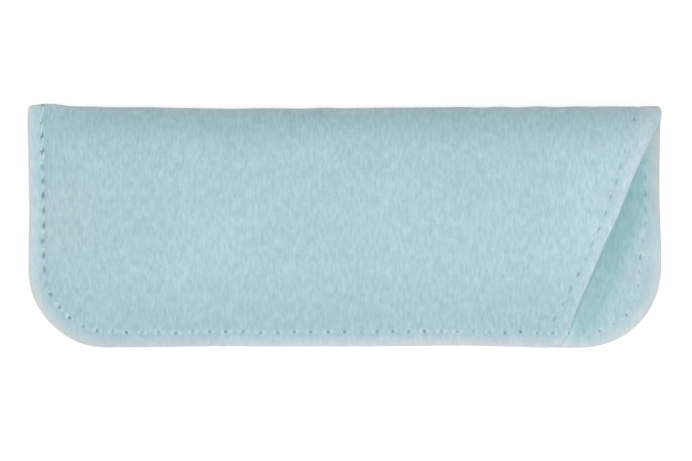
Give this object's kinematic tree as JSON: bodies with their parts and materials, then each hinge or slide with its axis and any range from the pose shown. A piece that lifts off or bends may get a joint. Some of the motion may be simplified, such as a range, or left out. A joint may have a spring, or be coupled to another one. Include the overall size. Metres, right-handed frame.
{
  "type": "felt spectacle case",
  "caption": "Soft slip-in spectacle case of lined felt, folded along the top, top-stitched round the rest, with a slanted open mouth and a flexing tab.",
  "frame": {"origin": "centre of the case's footprint, on the surface that its back panel lies on", "axes": "+X along the case from the closed end to the mouth, +Y across it from the sewn bottom edge to the fold, +Z out of the front panel"},
  "size_m": [0.17, 0.065, 0.012],
  "materials": {
    "felt": "pale aqua felt with a short brushed nap",
    "lining": "soft brushed lining in the same pale aqua",
    "thread": "matt twisted sewing thread, tone on tone"
  },
  "bodies": {
    "shell": {"felt_shell": "felt", "lining_shell": "lining", "seam_needle_thread": "thread", "seam_bobbin_thread": "thread", "mouth_needle_thread": "thread", "mouth_bobbin_thread": "thread"},
    "tab": {"felt_tab": "felt", "lining_tab": "lining", "tab_needle_thread": "thread", "tab_bobbin_thread": "thread"}
  },
  "joints": [
    {"name": "tab_flex", "type": "hinge", "parent": "shell", "child": "tab", "pos_m": [0.07291, -0.0043, 0.0026], "axis": [-0.3939, -0.9191, 0], "range_deg": [0, 70], "stiffness_Nm_per_rad": 0.003}
  ]
}
